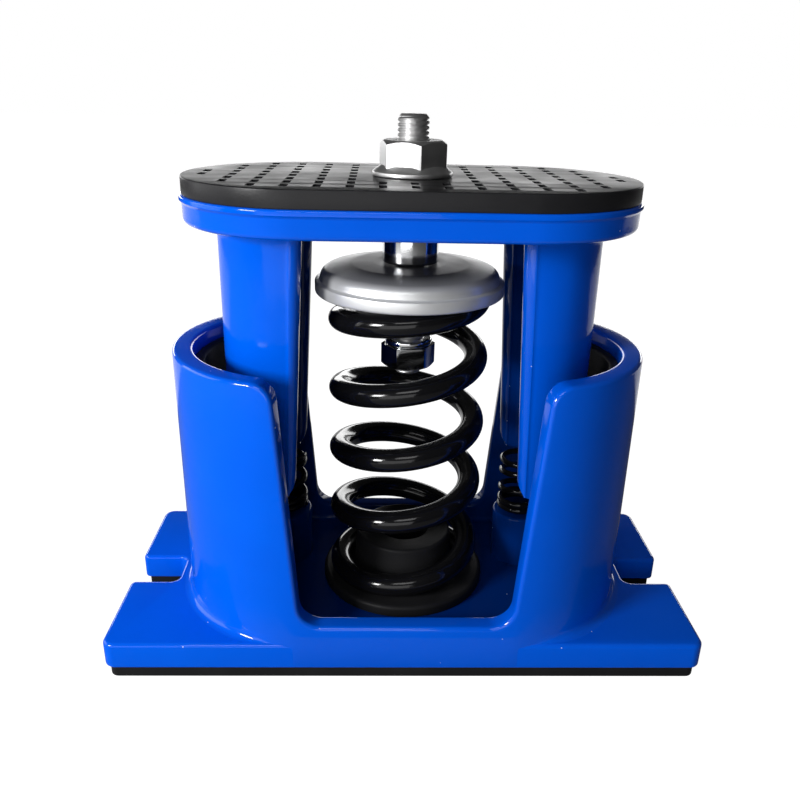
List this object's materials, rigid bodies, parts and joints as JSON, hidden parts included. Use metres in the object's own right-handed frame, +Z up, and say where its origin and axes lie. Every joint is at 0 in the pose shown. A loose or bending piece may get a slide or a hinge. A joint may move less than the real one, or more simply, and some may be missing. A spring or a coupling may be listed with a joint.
{
  "type": "spring vibration isolator",
  "caption": "Housed coil-spring vibration isolator: twin-cup notched base, top plate with legs guided in the cups, rubber pads, and a levelling bolt with a flange nut.",
  "frame": {"origin": "centre of the base's outline on the ground, under the main spring's axis", "axes": "+Z up along the spring and bolt axis, +X along the base from the left cup to the right cup, +Y to the rear"},
  "size_m": [0.2, 0.088, 0.1772],
  "materials": {
    "blue_paint": "gloss",
    "black_rubber": "satin",
    "black_spring": "gloss",
    "zinc_steel": "satin",
    "chrome_plate": "polished",
    "satin_silver": "satin"
  },
  "bodies": {
    "lower": {"lower_housing": "blue_paint", "base_pad": "black_rubber", "left_liner": "black_rubber", "right_liner": "black_rubber", "spring_seat": "black_rubber", "main_spring": "black_spring", "left_buffer_spring": "black_spring", "right_buffer_spring": "black_spring"},
    "cup": {"spring_cup": "satin_silver"},
    "upper": {"upper_housing": "blue_paint", "top_pad": "black_rubber"},
    "bolt": {"adjusting_bolt": "zinc_steel", "bolt_collar": "chrome_plate", "stop_nut": "chrome_plate", "stop_washer": "chrome_plate"},
    "nut": {"flange_nut": "zinc_steel"}
  },
  "joints": [
    {"name": "spring_compression", "type": "slide", "parent": "lower", "child": "cup", "axis": [0, 0, 1], "range_m": [-0.012, 0], "stiffness_N_per_m": 83000, "springref_m": 0.001, "deforming": ["main_spring", "left_buffer_spring", "right_buffer_spring"]},
    {"name": "level_travel", "type": "slide", "parent": "cup", "child": "upper", "axis": [0, 0, 1], "range_m": [0, 0.006]},
    {"name": "adjuster_turn", "type": "hinge", "parent": "cup", "child": "bolt", "pos_m": [0, 0, 0.13], "axis": [0, 0, 1], "range_deg": [-1440, 0]},
    {"name": "flange_nut_turn", "type": "hinge", "parent": "upper", "child": "nut", "pos_m": [0, 0, 0.164], "axis": [0, 0, 1], "continuous": true}
  ],
  "couplings": [
    {"joint": "adjuster_turn", "follows": "level_travel", "rad_per_m": -4188.8}
  ]
}
